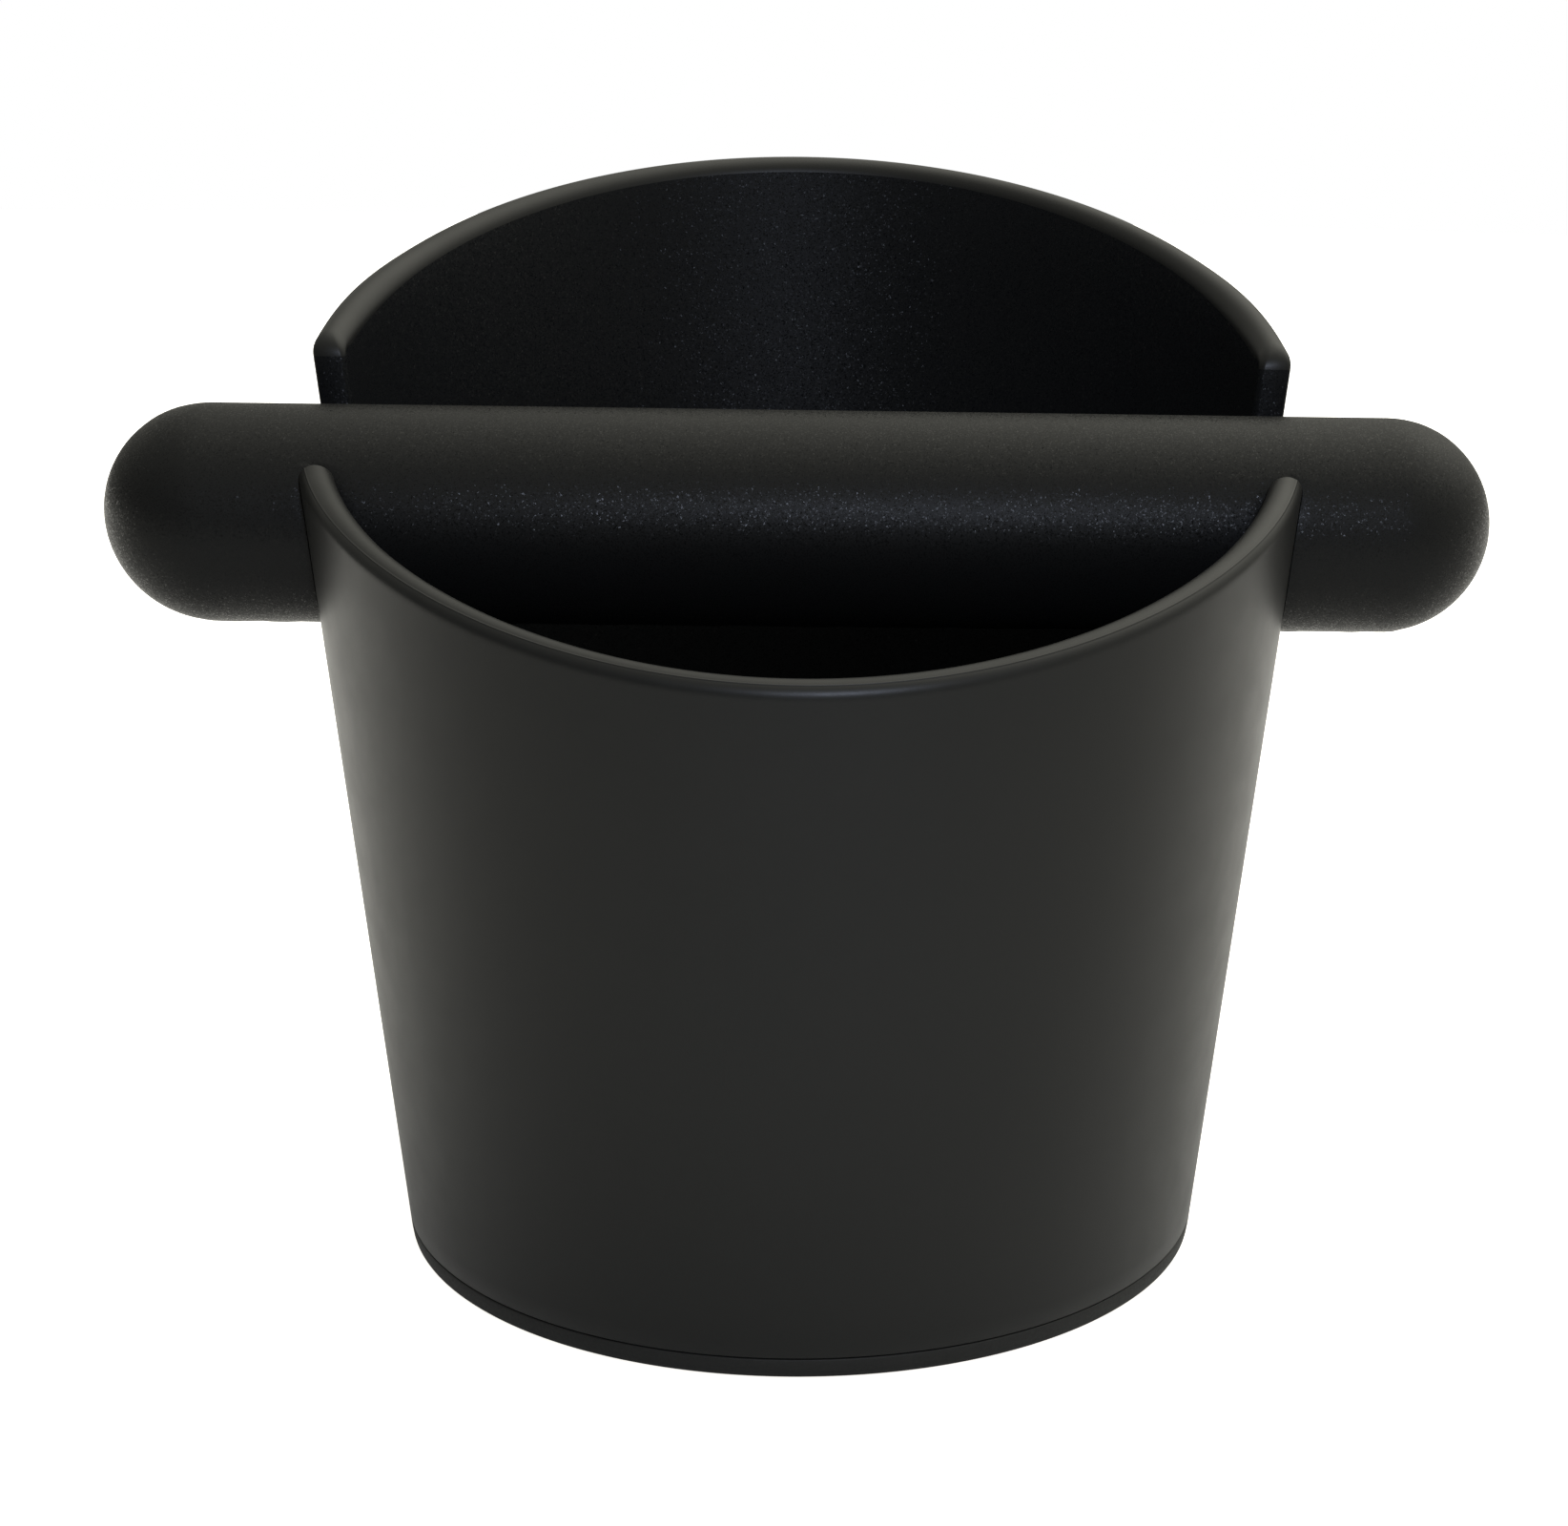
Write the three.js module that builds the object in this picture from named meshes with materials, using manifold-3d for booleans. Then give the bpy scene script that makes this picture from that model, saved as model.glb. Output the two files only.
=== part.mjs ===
// Espresso knock box: a tapered plastic tub on a rubber foot ring, with a rubber-covered
// steel bar that drops into two slots in the tub's wall. A full portafilter is struck on
// the bar and the spent coffee falls into the tub.
//
// Millimetres, +Z up. The bar lies along X, the low front lip faces -Y and the tall back
// wall faces +Y. Every solid of revolution is drawn as a half section (radius, height).

import * as THREE from 'three';
import { mergeVertices } from 'three/addons/utils/BufferGeometryUtils.js';
import Module from 'manifold-3d';

const wasm = await Module();
wasm.setup();

// Tub wall: a cone frustum of even thickness whose top edge is rounded over.
const BASE_RADIUS = 53.65;
const WALL_FLARE = 0.096;
const WALL = 4.2;
const FOOT_EDGE = 0.4;
const TUB_SEGMENTS = 120;
const RIM_ARC_STEPS = 8;

// Heights of the rim's crest, seen from the side: it falls from each slot to the front
// lip along a slightly crowned line, and rises straight from each slot to the back.
const FRONT_LIP_Z = 87.4;
const FRONT_TIP_Z = 104.9;
const FRONT_CROWN = 0.85;
const BACK_TIP_Z = 116.7;
const BACK_TOP_Z = 139;
const MEAN_RIM_RADIUS = 62;
const TIP_ROUND = 3.5;

// Floor, raised inside a skirt so that the foot ring's spigot has a socket to sit in.
const FLOOR_UNDERSIDE_Z = 6;
const FLOOR = 3.6;
const FLOOR_FILLET = 6;
const FILLET_STEPS = 5;

// Foot ring: a flange under the wall and a spigot inside the skirt.
const RING_HEIGHT = 2.4;
const RING_BORE = 43;
const SPIGOT_RADIUS = 48.3;
const RING_EDGE = 0.5;

// Knock bar: a capsule of rubber over a steel rod. Where it crosses the wall, the rubber
// is cut back at the sides and underneath to a U-shaped neck that fits the slot.
const BAR_Z = 95.5;
const BAR_RADIUS = 13.8;
const BAR_LENGTH = 178;
const BAR_SEGMENTS = 64;
const BAR_CAP_STEPS = 12;
const SLOT_HALF = 9.4;
const SLOT_STEPS = 12;
const CORE_RADIUS = 6;
const CORE_LENGTH = 160;
const CORE_CHAMFER = 0.8;
const MOULD_PIN_RADIUS = 1.5;
const MOULD_PIN_X = 40;

// Room left between pieces that touch on the real object.
const GAP = 0.3;

const FOOT_Z = RING_HEIGHT + GAP;
const FLOOR_Z = FLOOR_UNDERSIDE_Z + FLOOR;
const RIM_RADIUS = WALL / 2;
const NECK_HALF = SLOT_HALF - GAP;
const BEYOND = 200;

const outerRadius = (z) => BASE_RADIUS + WALL_FLARE * z;
const innerRadius = (z) => outerRadius(z) - WALL;

// Crest height of the rim. side is the sine of the angle round the tub: -1 at the middle
// of the front lip, 0 at the slots, 1 at the middle of the back.
function rimHeight(side) {
  const slotSide = SLOT_HALF / MEAN_RIM_RADIUS;
  const reach = Math.max(0, (Math.abs(side) - slotSide) / (1 - slotSide));
  if (side < 0) {
    const crown = 4 * FRONT_CROWN * reach * (1 - reach);
    return FRONT_TIP_Z + (FRONT_LIP_Z - FRONT_TIP_Z) * reach + crown;
  }
  return BACK_TIP_Z + (BACK_TOP_Z - BACK_TIP_Z) * reach;
}

// Welds a geometry and drops the slivers at its poles, so that manifold-3d takes it.
function toSolid(geometry) {
  geometry.deleteAttribute('normal');
  geometry.deleteAttribute('uv');
  const welded = mergeVertices(geometry, 1e-4);
  const corners = welded.index.array;
  const kept = [];
  for (let i = 0; i < corners.length; i += 3) {
    const [a, b, c] = corners.slice(i, i + 3);
    if (a !== b && b !== c && c !== a) kept.push(a, b, c);
  }
  return new wasm.Manifold(new wasm.Mesh({
    numProp: 3,
    vertProperties: new Float32Array(welded.attributes.position.array),
    triVerts: new Uint32Array(kept),
  }));
}

function toGeometry(solid) {
  const mesh = solid.getMesh();
  const geometry = new THREE.BufferGeometry();
  geometry.setAttribute('position', new THREE.BufferAttribute(mesh.vertProperties, 3));
  geometry.setIndex(new THREE.BufferAttribute(mesh.triVerts, 1));
  geometry.computeVertexNormals();
  return geometry;
}

// Turns a half section about the Z axis, starting at the front.
function turned(section, segments = TUB_SEGMENTS) {
  return new THREE.LatheGeometry(section, segments).rotateX(Math.PI / 2);
}

// Extrudes an outline drawn in (y, z) along X, right through the object.
function alongX(outline, steps = SLOT_STEPS) {
  const options = { depth: 2 * BEYOND, bevelEnabled: false, curveSegments: steps };
  const prism = new THREE.ExtrudeGeometry(outline, options);
  prism.translate(0, 0, -BEYOND);
  const yToX = new THREE.Vector3(0, 1, 0);
  const zToY = new THREE.Vector3(0, 0, 1);
  const xToZ = new THREE.Vector3(1, 0, 0);
  return prism.applyMatrix4(new THREE.Matrix4().makeBasis(yToX, zToY, xToZ));
}

function arc(centreR, centreZ, radius, fromAngle, toAngle, steps) {
  const points = [];
  for (let i = 0; i <= steps; i += 1) {
    const angle = fromAngle + ((toAngle - fromAngle) * i) / steps;
    const r = centreR + radius * Math.cos(angle);
    points.push(new THREE.Vector2(r, centreZ + radius * Math.sin(angle)));
  }
  return points;
}

// Half section of the tub at the height of the front lip.
function tubSection() {
  const rimZ = FRONT_LIP_Z - RIM_RADIUS;
  const filletZ = FLOOR_Z + FLOOR_FILLET;
  const filletR = innerRadius(filletZ) - FLOOR_FILLET;
  return [
    new THREE.Vector2(0, FLOOR_UNDERSIDE_Z),
    new THREE.Vector2(SPIGOT_RADIUS + GAP, FLOOR_UNDERSIDE_Z),
    new THREE.Vector2(SPIGOT_RADIUS + GAP, FOOT_Z),
    new THREE.Vector2(outerRadius(FOOT_Z) - FOOT_EDGE, FOOT_Z),
    new THREE.Vector2(outerRadius(FOOT_Z + FOOT_EDGE), FOOT_Z + FOOT_EDGE),
    ...arc(outerRadius(rimZ) - RIM_RADIUS, rimZ, RIM_RADIUS, 0, Math.PI, RIM_ARC_STEPS),
    ...arc(filletR, filletZ, FLOOR_FILLET, 0, -Math.PI / 2, FILLET_STEPS),
    new THREE.Vector2(0, FLOOR_Z),
  ];
}

// Lifts the rim of the turned tub to its height at each angle, out along the flare.
function raiseRim(geometry) {
  const rimStart = FRONT_LIP_Z - RIM_RADIUS - GAP;
  const position = geometry.attributes.position;
  for (let i = 0; i < position.count; i += 1) {
    const x = position.getX(i);
    const y = position.getY(i);
    const z = position.getZ(i);
    if (z > rimStart) {
      const radius = Math.hypot(x, y);
      const lift = rimHeight(y / radius) - FRONT_LIP_Z;
      const scale = (radius + WALL_FLARE * lift) / radius;
      position.setXYZ(i, x * scale, y * scale, z + lift);
    }
  }
  return geometry;
}

// The wall's corners, where the slot's sides meet the rim, are rounded by an arc. For each
// corner: the slope of the rim there, and the height of the arc's centre.
const CORNER_RUN = MEAN_RIM_RADIUS - SLOT_HALF;
const CORNER_Y = SLOT_HALF + TIP_ROUND;
const FRONT_SLOPE = Math.atan((FRONT_TIP_Z - FRONT_LIP_Z + 4 * FRONT_CROWN) / CORNER_RUN);
const BACK_SLOPE = Math.atan((BACK_TOP_Z - BACK_TIP_Z) / CORNER_RUN);
const FRONT_CORNER_Z = FRONT_TIP_Z
  - (Math.tan(FRONT_SLOPE) + 1 / Math.cos(FRONT_SLOPE)) * TIP_ROUND;
const BACK_CORNER_Z = BACK_TIP_Z
  - (1 / Math.cos(BACK_SLOPE) - Math.tan(BACK_SLOPE)) * TIP_ROUND;

// Outline of the U-shaped slot, open at the top.
function slotOutline() {
  const outline = new THREE.Shape();
  outline.moveTo(-SLOT_HALF, BAR_Z);
  outline.absarc(0, BAR_Z, SLOT_HALF, Math.PI, 2 * Math.PI, false);
  outline.absarc(CORNER_Y, BACK_CORNER_Z, TIP_ROUND, Math.PI, Math.PI / 2 + BACK_SLOPE, true);
  outline.lineTo(CORNER_Y, BEYOND);
  outline.lineTo(-CORNER_Y - TIP_ROUND, BEYOND);
  outline.absarc(-CORNER_Y, FRONT_CORNER_Z, TIP_ROUND, Math.PI / 2 + FRONT_SLOPE, 0, true);
  return outline;
}

function tub() {
  const shell = toSolid(raiseRim(turned(tubSection())));
  return toGeometry(shell.subtract(toSolid(alongX(slotOutline()))));
}

function footRing() {
  const section = [
    new THREE.Vector2(RING_BORE, 0),
    new THREE.Vector2(BASE_RADIUS - RING_EDGE, 0),
    new THREE.Vector2(outerRadius(RING_EDGE), RING_EDGE),
    new THREE.Vector2(outerRadius(RING_HEIGHT), RING_HEIGHT),
    new THREE.Vector2(SPIGOT_RADIUS, RING_HEIGHT),
    new THREE.Vector2(SPIGOT_RADIUS, FLOOR_UNDERSIDE_Z - GAP - RING_EDGE),
    new THREE.Vector2(SPIGOT_RADIUS - RING_EDGE, FLOOR_UNDERSIDE_Z - GAP),
    new THREE.Vector2(RING_BORE, FLOOR_UNDERSIDE_Z - GAP),
    new THREE.Vector2(RING_BORE, 0),
  ];
  return toGeometry(toSolid(turned(section)));
}

// The neck's outline: as wide as the slot, round underneath, and open above, so that the
// rubber runs unbroken along the top of the bar. In front it closes over the wall's corner.
function neckOutline() {
  const outline = new THREE.Shape();
  outline.moveTo(-NECK_HALF, BAR_Z);
  outline.absarc(0, BAR_Z, NECK_HALF, Math.PI, 2 * Math.PI, false);
  outline.lineTo(NECK_HALF, BEYOND);
  outline.lineTo(-CORNER_Y, BEYOND);
  outline.absarc(-CORNER_Y, FRONT_CORNER_Z, TIP_ROUND + GAP, Math.PI / 2, 0, true);
  return outline;
}

function stripOutline(fromY, toY) {
  const outline = new THREE.Shape();
  outline.moveTo(fromY, 0);
  outline.lineTo(toY, 0);
  outline.lineTo(toY, BEYOND);
  outline.lineTo(fromY, BEYOND);
  return outline;
}

// A band round the Z axis that holds the wall with a gap on both faces. Its outer face is
// the flared wall's, or upright at the radius that the wall has at passedZ, so that the bar
// can rise past the flare.
function wallBand(passedZ) {
  const bottomZ = BAR_Z - BAR_RADIUS - WALL;
  const topZ = BACK_TIP_Z + WALL;
  const outerAt = (z) => outerRadius(passedZ === undefined ? z : passedZ) + GAP;
  return toSolid(turned([
    new THREE.Vector2(innerRadius(bottomZ) - GAP, bottomZ),
    new THREE.Vector2(outerAt(bottomZ), bottomZ),
    new THREE.Vector2(outerAt(topZ), topZ),
    new THREE.Vector2(innerRadius(topZ) - GAP, topZ),
    new THREE.Vector2(innerRadius(bottomZ) - GAP, bottomZ),
  ]));
}

// Everything that is cut from the bar so that it clears the wall, at rest and on the way
// out. The widest part of the wall that it passes is where the rounding of a corner starts.
function groove() {
  const frontStrip = toSolid(alongX(stripOutline(-BEYOND, -NECK_HALF)));
  const backStrip = toSolid(alongX(stripOutline(NECK_HALF, BEYOND)));
  const cornerTop = TIP_ROUND - RIM_RADIUS;
  const front = wallBand(FRONT_CORNER_Z + cornerTop).intersect(frontStrip);
  const back = wallBand(BACK_CORNER_Z + cornerTop).intersect(backStrip);
  return wallBand().add(front).add(back).subtract(toSolid(alongX(neckOutline())));
}

function sleeve() {
  const straight = BAR_LENGTH - 2 * BAR_RADIUS;
  const capsule = new THREE.CapsuleGeometry(BAR_RADIUS, straight, BAR_CAP_STEPS, BAR_SEGMENTS);
  const bore = new THREE.CylinderGeometry(
    CORE_RADIUS + GAP, CORE_RADIUS + GAP, CORE_LENGTH + 2 * GAP, BAR_SEGMENTS / 2);
  let solid = toSolid(capsule.rotateZ(Math.PI / 2).translate(0, 0, BAR_Z));
  solid = solid.subtract(toSolid(bore.rotateZ(Math.PI / 2).translate(0, 0, BAR_Z)));
  solid = solid.subtract(groove());
  for (const x of [-MOULD_PIN_X, MOULD_PIN_X]) {
    const pin = new THREE.CylinderGeometry(MOULD_PIN_RADIUS, MOULD_PIN_RADIUS, BAR_RADIUS * 2, 16);
    pin.rotateX(Math.PI / 2).translate(x, 0, BAR_Z - BAR_RADIUS);
    solid = solid.subtract(toSolid(pin));
  }
  return toGeometry(solid);
}

function core() {
  const half = CORE_LENGTH / 2;
  const section = [
    new THREE.Vector2(0, -half),
    new THREE.Vector2(CORE_RADIUS - CORE_CHAMFER, -half),
    new THREE.Vector2(CORE_RADIUS, -half + CORE_CHAMFER),
    new THREE.Vector2(CORE_RADIUS, half - CORE_CHAMFER),
    new THREE.Vector2(CORE_RADIUS - CORE_CHAMFER, half),
    new THREE.Vector2(0, half),
  ];
  const rod = new THREE.LatheGeometry(section, BAR_SEGMENTS / 2);
  return toGeometry(toSolid(rod.rotateZ(-Math.PI / 2).translate(0, 0, BAR_Z)));
}

const PLASTIC = { color: 0x1f2020, roughness: 0.42, metalness: 0 };
const RUBBER = { color: 0x191a1a, roughness: 0.68, metalness: 0 };
const STEEL = { color: 0x8d9092, roughness: 0.35, metalness: 1 };

function piece(name, geometry, finish) {
  const mesh = new THREE.Mesh(geometry, new THREE.MeshStandardMaterial(finish));
  mesh.name = name;
  return mesh;
}

const knockBar = new THREE.Group();
knockBar.add(piece('bar_core', core(), STEEL));
knockBar.add(piece('bar_sleeve', sleeve(), RUBBER));

const box = new THREE.Group();
box.add(piece('tub', tub(), PLASTIC));
box.add(piece('base_ring', footRing(), RUBBER));
box.add(knockBar);

// The origin is the middle of the bounding box's underside, so the tub, whose back leans
// out further than its front, stands a little forward of it.
box.position.y = -new THREE.Box3().setFromObject(box).getCenter(new THREE.Vector3()).y;
const knockBox = new THREE.Group();
knockBox.add(box);

export default knockBox;
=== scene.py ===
"""Looks of the espresso knock box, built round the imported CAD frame.

Metres, +Z up. The bar lies along X, the low front lip faces -Y and the tall back wall +Y.
The tub, the foot ring and the bar's rubber are rebuilt here as fine meshes in the places
that the frame gives. The steel core keeps its CAD mesh and gets a better material.
"""

import math

import bpy
from mathutils import Euler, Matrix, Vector


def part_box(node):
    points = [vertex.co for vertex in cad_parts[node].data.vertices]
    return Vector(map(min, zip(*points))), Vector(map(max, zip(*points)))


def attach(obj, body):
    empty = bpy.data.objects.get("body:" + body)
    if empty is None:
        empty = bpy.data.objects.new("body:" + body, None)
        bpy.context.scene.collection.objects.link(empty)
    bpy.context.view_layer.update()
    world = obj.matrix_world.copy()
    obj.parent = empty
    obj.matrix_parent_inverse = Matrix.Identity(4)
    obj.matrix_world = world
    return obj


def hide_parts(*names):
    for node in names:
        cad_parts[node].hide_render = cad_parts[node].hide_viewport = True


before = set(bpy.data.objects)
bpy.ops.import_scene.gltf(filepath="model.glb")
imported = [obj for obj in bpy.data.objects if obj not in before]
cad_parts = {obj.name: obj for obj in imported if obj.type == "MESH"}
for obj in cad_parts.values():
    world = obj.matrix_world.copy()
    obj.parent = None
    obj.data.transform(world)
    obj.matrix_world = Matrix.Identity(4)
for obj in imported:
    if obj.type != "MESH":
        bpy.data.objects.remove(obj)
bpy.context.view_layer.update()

# ---------------------------------------------------------------------------------------
# Places and sizes that the frame gives
# ---------------------------------------------------------------------------------------

RING_LOW, RING_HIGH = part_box("base_ring")
TUB_LOW, TUB_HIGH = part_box("tub")
BAR_LOW, BAR_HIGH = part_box("bar_sleeve")

# The CAD's gap between neighbouring pieces.
GAP = 0.0003
FOOT_Z = TUB_LOW.z
FLANGE_TOP_Z = FOOT_Z - GAP
AXIS_Y = (RING_LOW.y + RING_HIGH.y) / 2
FLANGE_RADIUS = (RING_HIGH.x - RING_LOW.x) / 2

BAR_RADIUS = (BAR_HIGH.z - BAR_LOW.z) / 2
BAR_HALF = (BAR_HIGH.x - BAR_LOW.x) / 2
BAR_Z = (BAR_HIGH.z + BAR_LOW.z) / 2

# ---------------------------------------------------------------------------------------
# Sizes that a box can't tell, the same as the CAD's
# ---------------------------------------------------------------------------------------

WALL = 0.0042
FLARE = 0.096
RIM_ROUND = WALL / 2
MEAN_RIM_RADIUS = 0.062
FRONT_TIP_Z = 0.1049
FRONT_CROWN = 0.00085
BACK_TIP_Z = 0.1167
TIP_ROUND = 0.0035
SLOT_HALF = 0.0094
FLOOR_UNDERSIDE_Z = 0.006
FLOOR_Z = 0.0096
FLOOR_FILLET = 0.006
SPIGOT_RADIUS = 0.0483
RING_BORE = 0.043

# The gaps that are seen are finer than the CAD's GAP: between the bar's rubber and the wall,
# and between the foot ring and the wall's foot.
SEEN_GAP = 0.00005
RING_SEAM = 0.00012

BACK_TOP_Z = TUB_HIGH.z
BASE_RADIUS = FLANGE_RADIUS - FLARE * FLANGE_TOP_Z
LIP_RADIUS = AXIS_Y - TUB_LOW.y
FRONT_LIP_Z = (LIP_RADIUS - BASE_RADIUS) / FLARE + RIM_ROUND


def outer_radius(z):
    """The wall's outer radius at height z."""
    return BASE_RADIUS + FLARE * z


def lerp(a, b, t):
    return a + (b - a) * t


def smooth(t):
    t = min(1.0, max(0.0, t))
    return t * t * (3 - 2 * t)


# ---------------------------------------------------------------------------------------
# Meshes
# ---------------------------------------------------------------------------------------

WELD = 1e-7
TINY = 1e-9


class Builder:
    """Collects faces by the places of their corners, and welds corners that coincide."""

    def __init__(self):
        self.points = []
        self.faces = []
        self.finishes = []
        self.found = {}

    def vertex(self, x, y, z):
        key = (round(x / WELD), round(y / WELD), round(z / WELD))
        if key not in self.found:
            self.found[key] = len(self.points)
            self.points.append((x, y, z))
        return self.found[key]

    def face(self, corners, finish=0):
        """Adds a face, without the corners that repeat. One with fewer than 3 is dropped."""
        kept = [c for i, c in enumerate(corners) if c not in corners[:i]]
        if len(kept) > 2:
            self.faces.append(kept)
            self.finishes.append(finish)

    def grid(self, rows, second_from=None):
        """Faces between neighbouring rows of vertex numbers, all of one length, and between
        the last row and the first. From a place in each row on, which second_from lists,
        they get the second material."""
        starts = second_from or [math.inf] * len(rows)
        pairs = zip(rows, rows[1:] + rows[:1], starts, starts[1:] + starts[:1])
        for a, b, start_a, start_b in pairs:
            for i in range(len(a) - 1):
                second = i >= max(start_a, start_b)
                self.face((a[i], b[i], b[i + 1], a[i + 1]), int(second))

    def object(self, name):
        mesh = bpy.data.meshes.new(name)
        mesh.from_pydata(self.points, [], self.faces)
        mesh.polygons.foreach_set("material_index", self.finishes)
        mesh.update()
        obj = bpy.data.objects.new(name, mesh)
        bpy.context.scene.collection.objects.link(obj)
        return obj


def shade(obj, sharp_degrees=40):
    """Smooth shading, apart from edges sharper than the angle."""
    obj.data.shade_smooth()
    obj.data.set_sharp_from_angle(angle=math.radians(sharp_degrees))


def turned(name, section, steps):
    """A solid of revolution round the tub's axis, from a half section of (radius, z)."""
    made = Builder()
    rows = []
    for i in range(steps):
        angle = 2 * math.pi * i / steps
        c, s = math.cos(angle), math.sin(angle)
        rows.append([made.vertex(r * c, AXIS_Y + r * s, z) for r, z in section])
    made.grid(rows)
    return made.object(name)


def arc(centre_r, centre_z, radius, from_degrees, to_degrees, steps):
    """Points (r, z) on an arc, both ends included."""
    points = []
    for i in range(steps + 1):
        a = math.radians(lerp(from_degrees, to_degrees, i / steps))
        points.append((centre_r + radius * math.cos(a), centre_z + radius * math.sin(a)))
    return points


# ---------------------------------------------------------------------------------------
# The tub
# ---------------------------------------------------------------------------------------

# The rim is drawn as a path seen from the side, in (y, z) from the tub's axis: along the
# front rim, round the tip, down the slot's side, under the bar, and back up to the back
# rim. Each point has a normal into the plastic and the radius that rounds its two edges.

SLOT_ROUND = 0.0008
RIM_STEPS = 64
TIP_STEPS = 12
CHEEK_STEPS = 8
UNDER_STEPS = 30
FOOT_ROWS = 26
FOOT_ROWS_TOP_Z = 0.072
FOOT_EDGE = 0.0002
SOCKET_CORNER = 0.0006
SOCKET_EDGE = 0.0003

# Radii of the vertices within the floor's two flat faces.
UNDERSIDE_RINGS = (0, 0.02)
FLOOR_RINGS = (0.03, 0.015, 0)

# Up to this far from the slot's middle the wall is divided by planes of equal y, like the
# slot's own faces. Over the next stretch they turn into planes through the tub's axis.
STRAIGHT_WITHIN = 0.016
TURN_OVER = 0.02

# Angles across the rim's rounding, from the outer face to the inner. The closest ones carry
# the fine ridge where the mould's two halves met.
RIDGE_DEGREES = 52
RIDGE_HALF_WIDTH = 3
RIDGE_HEIGHT = 0.00005
RIM_DEGREES = [0, 10, 20, 30, 40, 46, 49, 52, 55, 58, 66, 78]
RIM_DEGREES += [90, 100, 110, 120, 130, 140, 150, 160, 170, 180]


def rim_crest(y):
    """Height of the rim's crest at side position y, where y is on the mean radius."""
    reach = max(0.0, (abs(y) - SLOT_HALF) / (MEAN_RIM_RADIUS - SLOT_HALF))
    if y < 0:
        crown = 4 * FRONT_CROWN * reach * (1 - reach)
        return lerp(FRONT_TIP_Z, FRONT_LIP_Z, reach) + crown
    return lerp(BACK_TIP_Z, BACK_TOP_Z, reach)


def rim_slope(y):
    """Slope of the rim's crest at side position y."""
    step = 1e-5
    return (rim_crest(y + step) - rim_crest(y - step)) / (2 * step)


def tip_circle(side):
    """The arc that rounds the wall's corner at the front (-1) or back (+1) of the slot: its
    centre (y, z), and the angle at which it meets the rim."""
    run = MEAN_RIM_RADIUS - SLOT_HALF
    if side < 0:
        lean = math.atan((FRONT_TIP_Z - FRONT_LIP_Z + 4 * FRONT_CROWN) / run)
        fall = math.tan(lean) + 1 / math.cos(lean)
        tip_z = FRONT_TIP_Z
    else:
        lean = math.atan((BACK_TOP_Z - BACK_TIP_Z) / run)
        fall = 1 / math.cos(lean) - math.tan(lean)
        tip_z = BACK_TIP_Z
    return side * (SLOT_HALF + TIP_ROUND), tip_z - fall * TIP_ROUND, math.pi / 2 + lean


def rim_path():
    """The path's points for one half of the tub, from the front lip to the back's top, as
    (y, z, normal y, normal z, edge radius, share of the way down the slot's side)."""
    path = []

    def along_rim(from_angle, to_angle, steps):
        for i in range(steps):
            angle = lerp(from_angle, to_angle, i / (steps - 1))
            y = MEAN_RIM_RADIUS * math.sin(angle)
            turn = lerp(1, math.cos(angle), away_from_slot(y))
            slope = rim_slope(y) * turn
            size = math.hypot(1, slope)
            path.append((y, rim_crest(y), turn * slope / size, -1 / size, RIM_ROUND, None))

    def round_tip(side, towards_slot):
        centre_y, centre_z, meets = tip_circle(side)
        flat = 0.0 if side < 0 else math.pi
        for i in range(1, TIP_STEPS):
            t = i / TIP_STEPS if towards_slot else 1 - i / TIP_STEPS
            angle = lerp(meets, flat, t)
            c, s = math.cos(angle), math.sin(angle)
            rounding = lerp(RIM_ROUND, SLOT_ROUND, smooth(t))
            path.append(
                (centre_y + TIP_ROUND * c, centre_z + TIP_ROUND * s, -c, -s, rounding, None)
            )

    def cheek(side, downwards):
        top = tip_circle(side)[1]
        for i in range(CHEEK_STEPS + 1):
            t = i / CHEEK_STEPS if downwards else 1 - i / CHEEK_STEPS
            path.append((side * SLOT_HALF, lerp(top, BAR_Z, t), side, 0.0, SLOT_ROUND, t))

    def under_bar():
        for i in range(1, UNDER_STEPS):
            angle = math.pi * (1 + i / UNDER_STEPS)
            c, s = math.cos(angle), math.sin(angle)
            path.append((SLOT_HALF * c, BAR_Z + SLOT_HALF * s, c, s, SLOT_ROUND, None))

    def rim_end(side):
        centre_y, _, meets = tip_circle(side)
        return math.asin((centre_y + TIP_ROUND * math.cos(meets)) / MEAN_RIM_RADIUS)

    along_rim(-math.pi / 2, rim_end(-1), RIM_STEPS)
    round_tip(-1, True)
    cheek(-1, True)
    under_bar()
    cheek(1, False)
    round_tip(1, False)
    along_rim(rim_end(1), math.pi / 2, RIM_STEPS)
    return path


def away_from_slot(y):
    """0 near the slot, where the wall is cut straight along X, and 1 further round."""
    return smooth((abs(y) - STRAIGHT_WITHIN) / TURN_OVER)


def wall_point(y, z, rho, mirror):
    """A point of the wall: rho is its distance out from the wall's middle. Near the slot a
    column keeps its y through the wall's thickness, and further away its angle."""
    radius = outer_radius(z) - WALL / 2 + rho
    by_angle = math.asin(max(-1.0, min(1.0, y / MEAN_RIM_RADIUS)))
    by_side = math.asin(max(-1.0, min(1.0, y / radius)))
    angle = lerp(by_side, by_angle, away_from_slot(y))
    x = radius * math.cos(angle)
    return (-x if mirror else x), AXIS_Y + radius * math.sin(angle), z


def ridge(degrees, rounding):
    """Height of the mould line's ridge at an angle across the rim."""
    nearness = 1 - abs(degrees - RIDGE_DEGREES) / RIDGE_HALF_WIDTH
    return RIDGE_HEIGHT * max(0.0, nearness) * rounding / RIM_ROUND


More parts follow.
